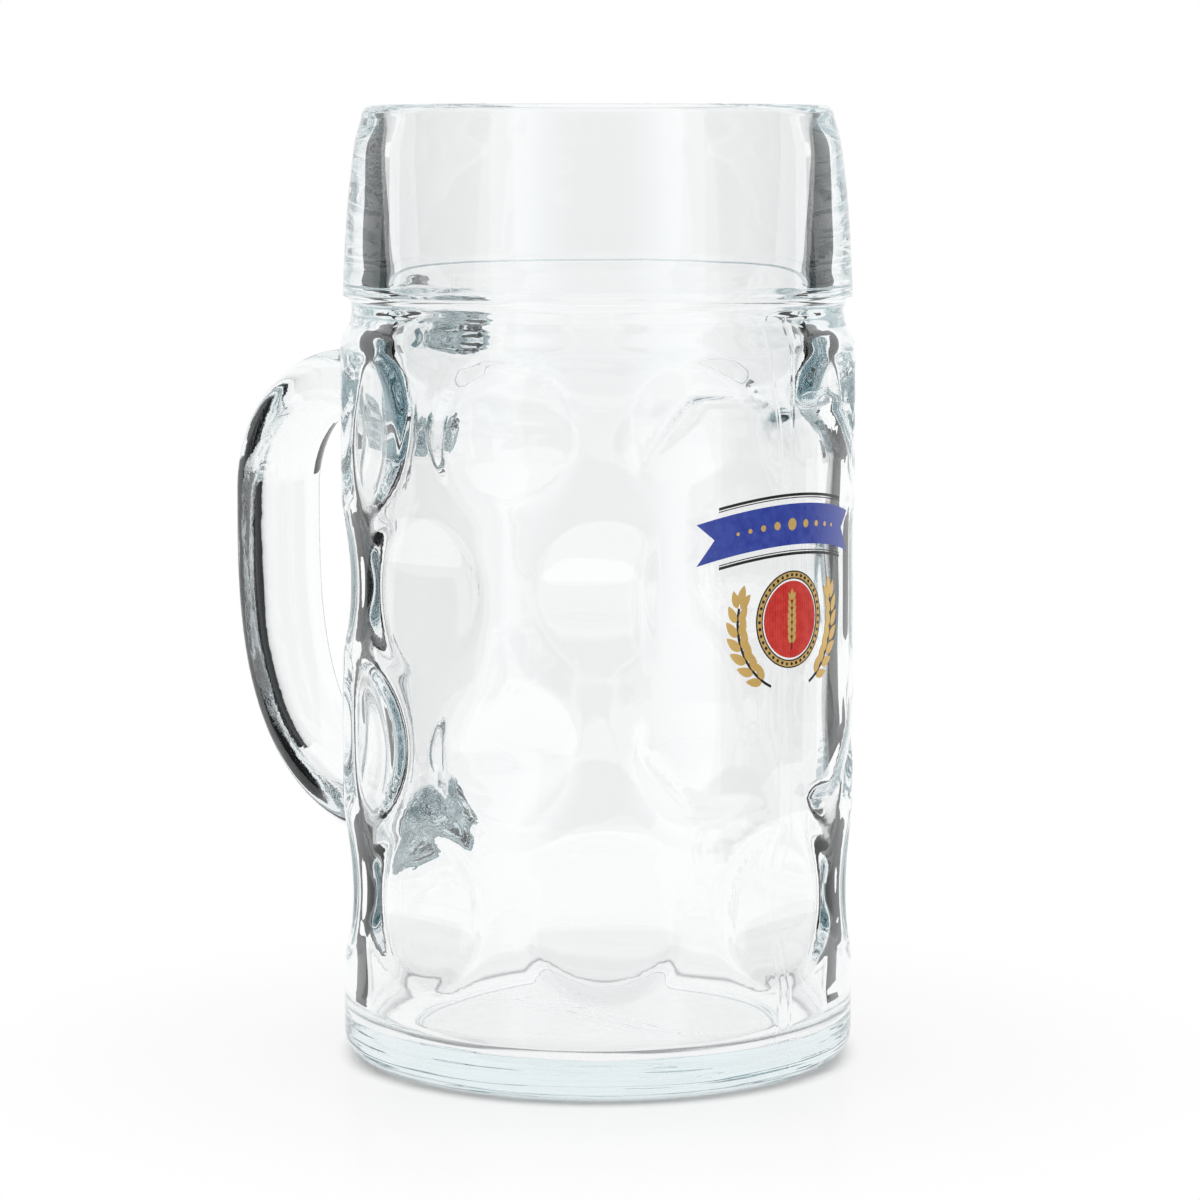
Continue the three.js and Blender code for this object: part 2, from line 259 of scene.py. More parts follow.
def straight(start, end, steps):
    """Evenly spaced points of a line."""
    return [tuple(Vector(start).lerp(Vector(end), i / steps)) for i in range(steps + 1)]


def finished(name, bm, smooth=True):
    """Closes a mesh, turns its faces outwards and makes an object of it in the scene."""
    bmesh.ops.remove_doubles(bm, verts=bm.verts, dist=MERGE_REACH)
    bmesh.ops.recalc_face_normals(bm, faces=bm.faces)
    mesh = bpy.data.meshes.new(name)
    bm.to_mesh(mesh)
    bm.free()
    for face in mesh.polygons:
        face.use_smooth = smooth
    piece = bpy.data.objects.new(name, mesh)
    bpy.context.scene.collection.objects.link(piece)
    return piece


def turn_between(angle, other):
    """Smaller turn between two angles."""
    return abs(math.remainder(angle - other, math.tau))


DIMPLES = [
    ((i + (row % 2) / 2) * math.tau / DIMPLES_PER_ROW, LOWEST_ROW + row * ROW_PITCH)
    for row in range(ROWS)
    for i in range(DIMPLES_PER_ROW)
]


def cap_depth(distance):
    """Hollow cap with a rounded lip, as a share of its full depth."""
    share = min(distance / DIMPLE_RADIUS, 1.0)
    bend = 1 - DIMPLE_LIP / DIMPLE_RADIUS
    if share < bend:
        return 1 - share ** 2 / bend
    return (1 - share) ** 2 / (1 - bend)


def dimple_share(angle, z):
    """Depth of the dimples at a place on the wall, none on the print panel and the handle's strip."""
    depth = 0.0
    for turn, height in DIMPLES:
        if abs(z - height) < DIMPLE_RADIUS:
            across = turn_between(angle, turn) * BODY_RADIUS
            if across < DIMPLE_RADIUS:
                depth = max(depth, cap_depth(math.hypot(across, z - height)))
    if depth == 0.0:
        return 0.0
    side = turn_between(angle, 0) * BODY_RADIUS - PANEL_WIDTH / 2
    end = abs(z - PANEL_BOTTOM - PANEL_HEIGHT / 2) - PANEL_HEIGHT / 2
    corner = (side + end + PANEL_CORNER) / math.sqrt(2)
    depth *= smoothstep(max(side, end, corner), 0, SOFT_EDGE)
    off_strip = turn_between(angle, math.pi) * BODY_RADIUS
    return depth * smoothstep(off_strip, STRIP_HALF, STRIP_HALF + SOFT_EDGE)


def body_profile():
    """Half section of the body as (distance from the axis, height), from under the foot to the floor."""
    ring_edge = BODY_RADIUS - FOOT_ROUND
    ring_inside = ring_edge - STANDING_RING
    middle = (SHOULDER + GROOVE_HEIGHT) / 2
    lip = RIM_WALL / 2
    bend = FLOOR + FLOOR_ROUND
    stretches = [
        straight((0, BASE_RECESS), (ring_inside - BASE_RECESS, BASE_RECESS), 10),
        straight((ring_inside - BASE_RECESS, BASE_RECESS), (ring_inside, 0), 2),
        straight((ring_inside, 0), (ring_edge, 0), 4),
        arc((ring_edge, FOOT_ROUND), FOOT_ROUND, -math.pi / 2, 0, 10),
        straight((BODY_RADIUS, FOOT_ROUND), (BODY_RADIUS, SHOULDER), 116),
        bezier([(BODY_RADIUS, SHOULDER), (BODY_RADIUS, middle), (GROOVE_RADIUS, middle),
                (GROOVE_RADIUS, GROOVE_HEIGHT)], 16),
        bezier([(GROOVE_RADIUS, GROOVE_HEIGHT), (GROOVE_RADIUS, BAND_FOOT),
                (BAND_RADIUS, BAND_FOOT)], 10),
        flowing([(BAND_RADIUS, BAND_FOOT), *BAND_LINE, (RIM_RADIUS, HEIGHT - lip)], 4),
        arc((RIM_RADIUS - lip, HEIGHT - lip), lip, 0, math.pi, 14),
        flowing([(RIM_RADIUS - RIM_WALL, HEIGHT - lip), *MOUTH_LINE, (BORE, BORE_TOP)], 6),
        straight((BORE, BORE_TOP), (BORE, bend), 66),
        arc((BORE - FLOOR_ROUND, bend), FLOOR_ROUND, 0, -math.pi / 2, 12),
        straight((BORE - FLOOR_ROUND, FLOOR), (0, FLOOR), 10),
    ]
    profile = list(stretches[0])
    for stretch in stretches[1:]:
        profile += stretch[1:]
    return profile


def press_dimples(vert):
    """Moves a point of the wall in by the dimple there; the inside swells with it, a little unevenly."""
    x, y, z = vert.co / MM
    radius = math.hypot(x, y)
    between = (BODY_RADIUS + BORE) / 2
    if radius < BORE - FLOOR_ROUND or z > GROOVE_HEIGHT or z < FOOT_ROUND:
        return
    angle = math.atan2(y, x)
    if radius > between:
        depth = DIMPLE_DEPTH * dimple_share(angle, z)
    else:
        depth = DIMPLE_INSIDE * dimple_share(angle, z)
        depth += INSIDE_WAVE * noise.noise(Vector((x, y, z)) / INSIDE_WAVE_LENGTH)
    scale = 1 - depth / radius
    vert.co.x *= scale
    vert.co.y *= scale


def blow_body():
    """Body turned from its half section, with its dimples."""
    bm = bmesh.new()
    ring = [bm.verts.new((r * MM, 0, z * MM)) for r, z in body_profile()]
    edges = [bm.edges.new(pair) for pair in zip(ring, ring[1:])]
    bmesh.ops.spin(bm, geom=ring + edges, cent=(0, 0, 0), axis=(0, 0, 1), angle=math.tau,
                   steps=TURN_STEPS, use_merge=True)
    bmesh.ops.remove_doubles(bm, verts=bm.verts, dist=MERGE_REACH)
    for vert in bm.verts:
        press_dimples(vert)
    return finished("mug_glass", bm)


def handle_line():
    """Middle line of the handle as (distance from the axis, height), evenly spaced."""
    reach, top = HANDLE_REACH, HANDLE_TOP
    start = BODY_RADIUS - JOINT_SINK
    foot_in = (
        BODY_RADIUS + SWEEP_IN * math.cos(HANDLE_SLOPE),
        HANDLE_FOOT + SWEEP_IN * math.sin(HANDLE_SLOPE),
    )
    bend = top - HANDLE_CORNER
    sweep = [(reach, bend), (reach, bend - SWEEP_DOWN), foot_in, (BODY_RADIUS, HANDLE_FOOT)]
    line = straight((start, top), (reach - HANDLE_CORNER, top), 40)
    line += arc((reach - HANDLE_CORNER, bend), HANDLE_CORNER, math.pi / 2, 0, 80)[1:]
    line += bezier(sweep, 200)[1:]
    line.append((start, HANDLE_FOOT - JOINT_SINK * math.tan(HANDLE_SLOPE)))
    points = [Vector(p) for p in line]
    run = [0.0]
    for a, b in zip(points, points[1:]):
        run.append(run[-1] + (b - a).length)
    even = []
    k = 0
    for i in range(HANDLE_RINGS + 1):
        goal = run[-1] * i / HANDLE_RINGS
        while k < len(run) - 2 and run[k + 1] < goal:
            k += 1
        share = (goal - run[k]) / (run[k + 1] - run[k])
        even.append(points[k].lerp(points[k + 1], share))
    return even, run[-1]


def oval(value):
    """Sine or cosine drawn out towards a squarer oval."""
    return math.copysign(abs(value) ** (2 / HANDLE_SQUARENESS), value)


def handle_ring(bm, centre, along, flare, share):
    """One ring of the handle's oval section; share under 1 draws it together for an end."""
    ring = bmesh.ops.create_circle(bm, segments=HANDLE_SIDES, radius=1)["verts"]
    for vert in ring:
        turn = math.atan2(vert.co.y, vert.co.x)
        out = (HANDLE_THICKNESS / 2 + flare) * oval(math.cos(turn)) * share
        side = (HANDLE_WIDTH / 2 + flare) * oval(math.sin(turn)) * share
        vert.co = Vector((-centre.x - along.y * out, side, centre.y - along.x * out)) * MM
    return ring


def seat_on_wall(ring):
    """Moves a ring along the handle's end onto the wall, just under its skin."""
    sunk = (BODY_RADIUS - JOINT_SINK) * MM
    for vert in ring:
        vert.co.x = -math.sqrt(sunk ** 2 - vert.co.y ** 2)


def loop_edges(ring):
    """Edges of a ring of points that nothing is joined to yet."""
    return list({edge for vert in ring for edge in vert.link_edges})


def press_handle():
    """Handle swept along its middle line and seated on the wall at both ends."""
    bm = bmesh.new()
    line, length = handle_line()
    rings = []
    last = HANDLE_RINGS
    for i, centre in enumerate(line):
        along = (line[min(i + 1, last)] - line[max(i - 1, 0)]).normalized()
        from_end = min(i, last - i) * length / last
        flare = JOINT_FLARE * (1 - smoothstep(from_end, 0, JOINT_LENGTH))
        flare += JOINT_BEAD * (1 - smoothstep(from_end, 0, JOINT_BEAD_LENGTH)) ** 2
        ring = handle_ring(bm, centre, along, flare, 1.0)
        if i in (0, last):
            seat_on_wall(ring)
        rings.append(ring)
        if i in (0, last):
            caps = []
            for share in END_RINGS:
                cap = handle_ring(bm, centre, along, flare, share)
                seat_on_wall(cap)
                caps.append(cap)
            if i == 0:
                rings = caps[::-1] + rings
            else:
                rings += caps
    loops = [loop_edges(ring) for ring in rings]
    for one, two in zip(loops, loops[1:]):
        bmesh.ops.bridge_loops(bm, edges=one + two)
    bmesh.ops.contextual_create(bm, geom=loops[0])
    bmesh.ops.contextual_create(bm, geom=loops[-1])
    return finished("handle_glass", bm)


def ring_outline(x, y, radius, sides):
    """Outline of a round patch."""
    turns = [math.tau * i / sides for i in range(sides)]
    return [(x + radius * math.cos(turn), y + radius * math.sin(turn)) for turn in turns]


def inked(bm, outline, ink=0, lift=0.0):
    """Flat patch of the print; lift raises an ink that was fired over another."""
    face = bm.faces.new([bm.verts.new((x, y, lift)) for x, y in outline])
    face.material_index = ink
    face.normal_update()
    return face


def edge_line(bm, face, width, ink):
    """Line of another ink along the inside of a patch's edge."""
    border = bmesh.ops.inset_region(bm, faces=[face], thickness=width, use_even_offset=True)["faces"]
    for part in border:
        part.material_index = ink


def fire_on_wall(name, bm):
    """Gives flat patches their thickness and bends them round the wall at the print's place."""
    bmesh.ops.triangulate(bm, faces=bm.faces)
    reach = max(abs(vert.co.x) for vert in bm.verts)
    steps = int(reach / BEND_STEP) + 1
    for i in range(-steps, steps + 1):
        bmesh.ops.bisect_plane(bm, geom=bm.verts[:] + bm.edges[:] + bm.faces[:], dist=CUT_REACH,
                               plane_co=(i * reach / steps, 0, 0), plane_no=(1, 0, 0))
    top = bmesh.ops.extrude_face_region(bm, geom=bm.faces[:])["geom"]
    raised = {part for part in top if isinstance(part, bmesh.types.BMVert)}
    for vert in bm.verts:
        radius = BODY_RADIUS - ENAMEL_IN
        if vert in raised:
            radius = BODY_RADIUS + ENAMEL_OUT + vert.co.z
        turn = vert.co.x / BODY_RADIUS
        height = PRINT_HEIGHT + vert.co.y
        vert.co = Vector((radius * math.cos(turn), radius * math.sin(turn), height)) * MM
    return finished(name, bm, smooth=False)


def ribbon_arch(x):
    """Height of the ribbon's middle line."""
    return RIBBON_RISE - RIBBON_ARCH * (2 * x / RIBBON_LENGTH) ** 2


def arched_outline(length, low, high, notch):
    """Outline of a band that follows the ribbon's arch, with straight or notched ends."""
    steps = 32
    xs = [length * (i / steps - 0.5) for i in range(steps + 1)]
    end = length / 2 - notch
    middle = ribbon_arch(end) + (low + high) / 2
    outline = [(x, ribbon_arch(x) + low) for x in xs]
    if notch:
        outline.append((end, middle))
    outline += [(x, ribbon_arch(x) + high) for x in reversed(xs)]
    if notch:
        outline.append((-end, middle))
    return outline


def print_ribbon():
    """Notched ribbon with a dark edge, a gold hairline and a row of gold dots."""
    bm = bmesh.new()
    half = RIBBON_WIDTH / 2
    face = inked(bm, arched_outline(RIBBON_LENGTH, -half, half, RIBBON_NOTCH))
    edge_line(bm, face, RIBBON_KEYLINE, 1)
    edge_line(bm, face, RIBBON_MARGIN, 0)
    edge_line(bm, face, RIBBON_HAIRLINE, 2)
    for x, radius in RIBBON_DOTS:
        for side in (1, -1) if x else (1,):
            dot = ring_outline(side * x, ribbon_arch(x), radius, DOT_SIDES)
            edge_line(bm, inked(bm, dot, 2, SECOND_FIRING), radius * DOT_KEYLINE, 1)
    return fire_on_wall("ribbon_enamel", bm)


def print_rule(name, side):
    """Fine line and bold line beside the ribbon."""
    bm = bmesh.new()
    near = RIBBON_WIDTH / 2 + RULE_GAP
    far = near + RULE_WIDTH
    for low, high in ((near, near + RULE_FINE), (far - RULE_BOLD, far)):
        low, high = sorted((side * low, side * high))
        inked(bm, arched_outline(RULE_LENGTH, low, high, 0))
    return fire_on_wall(name, bm)


def print_medal_rim():
    """Gold rim with dark edges and a ring of dark beads."""
    bm = bmesh.new()
    inside = MEDAL_RADIUS - MEDAL_RIM
    radii = [MEDAL_RADIUS, MEDAL_RADIUS - MEDAL_KEYLINE, inside + MEDAL_KEYLINE, inside]
    loops = []
    for radius in radii:
        ring = bmesh.ops.create_circle(bm, segments=MEDAL_RIM_SIDES, radius=radius)["verts"]
        bmesh.ops.translate(bm, verts=ring, vec=(0, -MEDAL_DROP, 0))
        loops.append(loop_edges(ring))
    for ink, (one, two) in zip((1, 0, 1), zip(loops, loops[1:])):
        for face in bmesh.ops.bridge_loops(bm, edges=one + two)["faces"]:
            face.material_index = ink
    middle = MEDAL_RADIUS - MEDAL_RIM / 2
    for i in range(MEDAL_BEADS):
        turn = math.tau * i / MEDAL_BEADS
        place = (middle * math.cos(turn), middle * math.sin(turn) - MEDAL_DROP)
        inked(bm, ring_outline(*place, BEAD_RADIUS, BEAD_SIDES), 1, SECOND_FIRING)
    return fire_on_wall("medal_rim_enamel", bm)


def print_medal_field():
    """Round field of the medal with a dark edge."""
    bm = bmesh.new()
    radius = MEDAL_RADIUS - MEDAL_RIM - INK_GAP
    face = inked(bm, ring_outline(0, -MEDAL_DROP, radius, MEDAL_FIELD_SIDES))
    edge_line(bm, face, MEDAL_KEYLINE, 1)
    return fire_on_wall("medal_field_enamel", bm)


def grain_outline(foot, along, tilt, length, width):
    """Pointed oval of one barley grain, from its foot on the stem."""
    run = Vector((along.x * math.cos(tilt) - along.y * math.sin(tilt),
                  along.x * math.sin(tilt) + along.y * math.cos(tilt)))
    across = Vector((-run.y, run.x))
    shares = [i / GRAIN_STEPS for i in range(GRAIN_STEPS + 1)]
    shape = [(t, math.sin(math.pi * t ** GRAIN_FULLNESS) ** GRAIN_FULLNESS) for t in shares]
    left = [foot + run * length * t + across * width / 2 * w for t, w in shape]
    right = [foot + run * length * t - across * width / 2 * w for t, w in shape[1:-1]]
    return [tuple(place) for place in right + left[::-1]]


def print_ear(name, line, length, lift):
    """Ear of barley: grains in pairs up a stem, each pair smaller towards the tip."""
    bm = bmesh.new()
    pitch = length / (GRAIN_PAIRS + EAR_ENDS)
    stem_half = STEM_HALF * pitch
    for i in range(GRAIN_PAIRS):
        foot, along = line((FIRST_PAIR + i * PAIR_PITCH) * pitch / length)
        across = Vector((-along.y, along.x))
        size = pitch * (1.0 - EAR_TAPER * abs(i / (GRAIN_PAIRS - 1) - EAR_FULLEST))
        for side in (1, -1):
            start = foot + across * side * stem_half * GRAIN_SPREAD
            tilt = side * GRAIN_TILT
            outline = grain_outline(start, along, tilt, GRAIN_LENGTH * size, GRAIN_WIDTH * size)
            edge_line(bm, inked(bm, outline, 0, lift), GRAIN_KEYLINE, 1)
    foot, along = line((FIRST_PAIR + (GRAIN_PAIRS - TIP_BACK) * PAIR_PITCH) * pitch / length)
    outline = grain_outline(foot, along, 0, TIP_LENGTH * pitch, TIP_WIDTH * pitch)
    edge_line(bm, inked(bm, outline, 0, lift + OVERLAP), GRAIN_KEYLINE, 1)
    left, right = [], []
    for i in range(STEM_STEPS + 1):
        place, along = line(STEM_REACH * i / STEM_STEPS)
        across = Vector((-along.y, along.x))
        left.append(tuple(place + across * stem_half))
        right.append(tuple(place - across * stem_half))
    inked(bm, left + right[::-1], 1, lift - OVERLAP)
    return fire_on_wall(name, bm)


def middle_ear_line(share):
    """Place and direction of the upright ear's stem."""
    return Vector((0, -MEDAL_DROP + MIDDLE_EAR_LENGTH * (share - 0.5))), Vector((0, 1))


def side_ear_line(side):
    """Stem that curves round one side of the medal."""
    def line(share):
        turn = SIDE_EAR_START + (SIDE_EAR_END - SIDE_EAR_START) * share
        x = side * SIDE_EAR_RADIUS * math.cos(turn)
        y = SIDE_EAR_RADIUS * math.sin(turn) - MEDAL_DROP
        return Vector((x, y)), Vector((-side * math.sin(turn), math.cos(turn)))
    return line


def new_material(name):
    """New material with its nodes and links."""
    material = bpy.data.materials.new(name)
    material.use_nodes = True
    return material, material.node_tree.nodes, material.node_tree.links


def math_node(nodes, links, operation, *values):
    """One Math node; a value is a number or the socket that feeds it."""
    node = nodes.new("ShaderNodeMath")
    node.operation = operation
    for i, value in enumerate(values):
        if isinstance(value, (int, float)):
            node.inputs[i].default_value = value
        else:
            links.new(value, node.inputs[i])
    return node.outputs["Value"]


def map_range(nodes, links, value, low, high, bottom=0.0, top=1.0, smooth=False):
    """Spreads what lies between two marks over a new range."""
    node = nodes.new("ShaderNodeMapRange")
    if smooth:
        node.interpolation_type = "SMOOTHSTEP"
    node.inputs["From Min"].default_value = low
    node.inputs["From Max"].default_value = high
    node.inputs["To Min"].default_value = bottom
    node.inputs["To Max"].default_value = top
    links.new(value, node.inputs["Value"])
    return node.outputs["Result"]


def mix_colour(nodes, links, share, one, two):
    """Mix of two colours; a colour is written out or the socket that feeds it."""
    node = nodes.new("ShaderNodeMix")
    node.data_type = "RGBA"
    links.new(share, node.inputs["Factor"])
    for name, colour in (("A", one), ("B", two)):
        if isinstance(colour, bpy.types.NodeSocket):
            links.new(colour, node.inputs[name])
        else:
            node.inputs[name].default_value = colour
    return node.outputs["Result"]


def stretched_noise(nodes, links, coords, stretch, scale, detail):
    """Noise drawn out along an axis, from the object's own coordinates."""
    place = nodes.new("ShaderNodeMapping")
    place.inputs["Scale"].default_value = stretch
    links.new(coords.outputs["Object"], place.inputs["Vector"])
    grain = nodes.new("ShaderNodeTexNoise")
    grain.inputs["Scale"].default_value = scale
    grain.inputs["Detail"].default_value = detail
    links.new(place.outputs["Vector"], grain.inputs["Vector"])
    return grain.outputs["Fac"]


def glass_skin():
    """Shared group: slow ripple of hot glass and fine chill marks of the mould, as a height."""
    group = bpy.data.node_groups.new("glass_skin", "ShaderNodeTree")
    sockets = group.interface
    sockets.new_socket("Ripple", in_out="INPUT", socket_type="NodeSocketFloat")
    sockets.new_socket("Chill Marks", in_out="INPUT", socket_type="NodeSocketFloat")
    sockets.new_socket("Height", in_out="OUTPUT", socket_type="NodeSocketFloat")
    nodes, links = group.nodes, group.links
    inside = nodes.new("NodeGroupInput")
    outside = nodes.new("NodeGroupOutput")
    coords = nodes.new("ShaderNodeTexCoord")
    slow = stretched_noise(nodes, links, coords, stretch=(1, 1, 0.6), scale=70, detail=1.5)
    fine = stretched_noise(nodes, links, coords, stretch=(1, 1, 0.5), scale=750, detail=3)
    ripple = math_node(nodes, links, "MULTIPLY", slow, inside.outputs["Ripple"])
    marks = math_node(nodes, links, "MULTIPLY", fine, inside.outputs["Chill Marks"])
    links.new(math_node(nodes, links, "ADD", ripple, marks), outside.inputs["Height"])
    return group


GLASS_SKIN = glass_skin()


def tint_volume(nodes, links, density):
    """Faint grey-green of thick soda glass."""
    tint = nodes.new("ShaderNodeVolumeAbsorption")
    tint.inputs["Color"].default_value = GLASS_TINT
    tint.inputs["Density"].default_value = density
    links.new(tint.outputs["Volume"], nodes["Material Output"].inputs["Volume"])


def glass_material(name, ripple, chill_marks, density):
    """Clear glass; ripple and chill marks are heights in millimetres."""
    material, nodes, links = new_material(name)
    shader = nodes["Principled BSDF"]
    shader.inputs["Base Color"].default_value = (1, 1, 1, 1)
    shader.inputs["Roughness"].default_value = 0.0
    shader.inputs["IOR"].default_value = 1.52
    shader.inputs["Transmission Weight"].default_value = 1.0
    skin = nodes.new("ShaderNodeGroup")
    skin.node_tree = GLASS_SKIN
    skin.inputs["Ripple"].default_value = ripple
    skin.inputs["Chill Marks"].default_value = chill_marks
    bump = nodes.new("ShaderNodeBump")
    bump.inputs["Strength"].default_value = 1.0
    bump.inputs["Distance"].default_value = MM
    links.new(skin.outputs["Height"], bump.inputs["Height"])
    links.new(bump.outputs["Normal"], shader.inputs["Normal"])
    tint_volume(nodes, links, density)
    return material


def joint_wrinkles(nodes, links, coords):
    """Folds that the hot ends of the handle pushed into the inside of the wall, as a height."""
    off_ends = []
    for height in (HANDLE_TOP, HANDLE_FOOT):
        off_end = nodes.new("ShaderNodeVectorMath")
        off_end.operation = "DISTANCE"
        off_end.inputs[1].default_value = (-BORE * MM, 0, height * MM)
        links.new(coords.outputs["Object"], off_end.inputs[0])
        off_ends.append(off_end.outputs["Value"])
    nearest = math_node(nodes, links, "MINIMUM", *off_ends)
    near = map_range(nodes, links, nearest, WRINKLE_REACH * MM, WRINKLE_FULL * MM,
                     top=WRINKLE_HEIGHT, smooth=True)
    folds = stretched_noise(nodes, links, coords, stretch=(0.4, 0.4, 1), scale=240, detail=1.5)
    level = nodes.new("ShaderNodeVectorMath")
    level.operation = "MULTIPLY"
    level.inputs[1].default_value = (1, 1, 0)
    links.new(coords.outputs["Object"], level.inputs[0])
    off_axis = nodes.new("ShaderNodeVectorMath")
    off_axis.operation = "LENGTH"
    links.new(level.outputs["Vector"], off_axis.inputs[0])
    between = (BODY_RADIUS + BORE) / 2 * MM
    inside = math_node(nodes, links, "LESS_THAN", off_axis.outputs["Value"], between)
    folds = math_node(nodes, links, "MULTIPLY", folds, near)
    return math_node(nodes, links, "MULTIPLY", folds, inside)


def add_mould_marks(material):
    """Upright seams where the mould's halves met, streaks in the thick base and folds at the joints."""
    nodes, links = material.node_tree.nodes, material.node_tree.links
    coords = nodes.new("ShaderNodeTexCoord")
    split = nodes.new("ShaderNodeSeparateXYZ")
    links.new(coords.outputs["Object"], split.inputs["Vector"])
    off_seam = math_node(nodes, links, "ABSOLUTE", split.outputs["Y"])
    seam = map_range(nodes, links, off_seam, SEAM_HALF * MM, 0.0, top=SEAM_HEIGHT, smooth=True)
    below_band = math_node(nodes, links, "LESS_THAN", split.outputs["Z"], GROOVE_HEIGHT * MM)
    ridge = math_node(nodes, links, "MULTIPLY", seam, below_band)
    streaks = stretched_noise(nodes, links, coords, stretch=(0.05, 0.05, 1), scale=520, detail=1.5)
    low = map_range(nodes, links, split.outputs["Z"], STREAK_TOP * MM, STREAK_FULL * MM,
                    top=STREAK_HEIGHT, smooth=True)
    streak = math_node(nodes, links, "MULTIPLY", streaks, low)
    marks = math_node(nodes, links, "ADD", ridge, streak)
    marks = math_node(nodes, links, "ADD", marks, joint_wrinkles(nodes, links, coords))
    skin = nodes["Group"].outputs["Height"]
    links.new(math_node(nodes, links, "ADD", skin, marks), nodes["Bump"].inputs["Height"])


def enamel_wear():
    """Shared group: colour that drifts a little, fine pinholes and a softly uneven gloss."""
    group = bpy.data.node_groups.new("enamel_wear", "ShaderNodeTree")
    sockets = group.interface
    sockets.new_socket("Ink", in_out="INPUT", socket_type="NodeSocketColor")
    sockets.new_socket("Worn Ink", in_out="INPUT", socket_type="NodeSocketColor")
    sockets.new_socket("Drift", in_out="INPUT", socket_type="NodeSocketFloat")
    sockets.new_socket("Pinholes", in_out="INPUT", socket_type="NodeSocketFloat")
    sockets.new_socket("Colour", in_out="OUTPUT", socket_type="NodeSocketColor")
    sockets.new_socket("Roughness", in_out="OUTPUT", socket_type="NodeSocketFloat")
    sockets.new_socket("Height", in_out="OUTPUT", socket_type="NodeSocketFloat")
    nodes, links = group.nodes, group.links
    inside = nodes.new("NodeGroupInput").outputs
    outside = nodes.new("NodeGroupOutput").inputs
    coords = nodes.new("ShaderNodeTexCoord")
    cloud = stretched_noise(nodes, links, coords, stretch=(1, 1, 1), scale=520, detail=6)
    spread = map_range(nodes, links, cloud, low=0.35, high=0.7)
    amount = math_node(nodes, links, "MULTIPLY", spread, inside["Drift"])
    drift = mix_colour(nodes, links, amount, inside["Ink"], inside["Worn Ink"])
    holes = nodes.new("ShaderNodeTexVoronoi")
    holes.inputs["Scale"].default_value = 2100
    links.new(coords.outputs["Object"], holes.inputs["Vector"])
    pin = map_range(nodes, links, holes.outputs["Distance"], low=0.1, high=0.05)
    pinned = math_node(nodes, links, "MULTIPLY", pin, inside["Pinholes"])
    bare_glass = (0.78, 0.8, 0.82, 1)
    links.new(mix_colour(nodes, links, pinned, drift, bare_glass), outside["Colour"])
    gloss = map_range(nodes, links, cloud, low=0.0, high=1.0, bottom=0.2, top=0.46)
    links.new(gloss, outside["Roughness"])
    links.new(math_node(nodes, links, "SUBTRACT", cloud, pin), outside["Height"])
    return group


ENAMEL_WEAR = enamel_wear()


def enamel_material(name, ink, worn, drift, pinholes):
    """Fired enamel of one ink that wears towards another tone of it."""
    material, nodes, links = new_material(name)
    shader = nodes["Principled BSDF"]
    wear = nodes.new("ShaderNodeGroup")
    wear.node_tree = ENAMEL_WEAR
    wear.inputs["Ink"].default_value = ink
    wear.inputs["Worn Ink"].default_value = worn
    wear.inputs["Drift"].default_value = drift
    wear.inputs["Pinholes"].default_value = pinholes
    links.new(wear.outputs["Colour"], shader.inputs["Base Color"])
    links.new(wear.outputs["Roughness"], shader.inputs["Roughness"])
    bump = nodes.new("ShaderNodeBump")
    bump.inputs["Strength"].default_value = 0.5
    bump.inputs["Distance"].default_value = 0.00003
    links.new(wear.outputs["Height"], bump.inputs["Height"])
    links.new(bump.outputs["Normal"], shader.inputs["Normal"])
    return material


def shade_across(material, low, high, dark, bright, along):
    """Lets an ink run from bright to dark across the print, darker towards its end at +y and towards its
    bottom.
    """
    nodes, links = material.node_tree.nodes, material.node_tree.links
    coords = nodes.new("ShaderNodeTexCoord")
    slope = nodes.new("ShaderNodeVectorMath")
    slope.operation = "DOT_PRODUCT"
    slope.inputs[1].default_value = along
    links.new(coords.outputs["Object"], slope.inputs[0])
    place = map_range(nodes, links, slope.outputs["Value"], low, high)
    links.new(mix_colour(nodes, links, place, bright, dark), nodes["Group"].inputs["Ink"])


def hatch(material, scale, deep):
    """Fine upright hatching in a deeper tone of the same ink."""
    nodes, links = material.node_tree.nodes, material.node_tree.links
    coords = nodes.new("ShaderNodeTexCoord")
    lines = nodes.new("ShaderNodeTexWave")
    lines.bands_direction = "Y"
    lines.inputs["Scale"].default_value = scale
    lines.inputs["Distortion"].default_value = 0.6
    lines.inputs["Detail Scale"].default_value = 3.0
    links.new(coords.outputs["Object"], lines.inputs["Vector"])
    ink = nodes["Group"].inputs["Ink"]
    plain = tuple(ink.default_value)
    links.new(mix_colour(nodes, links, lines.outputs["Fac"], plain, deep), ink)


body = blow_body()
blown = glass_material("blown_glass", ripple=0.05, chill_marks=0.0006, density=BODY_TINT)
add_mould_marks(blown)
body.data.materials.append(blown)
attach(body, "root")
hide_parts("mug_body")

handle = press_handle()
pressed = glass_material("pressed_glass", ripple=0.26, chill_marks=0.012, density=HANDLE_TINT)
handle.data.materials.append(pressed)
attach(handle, "root")
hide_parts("handle")

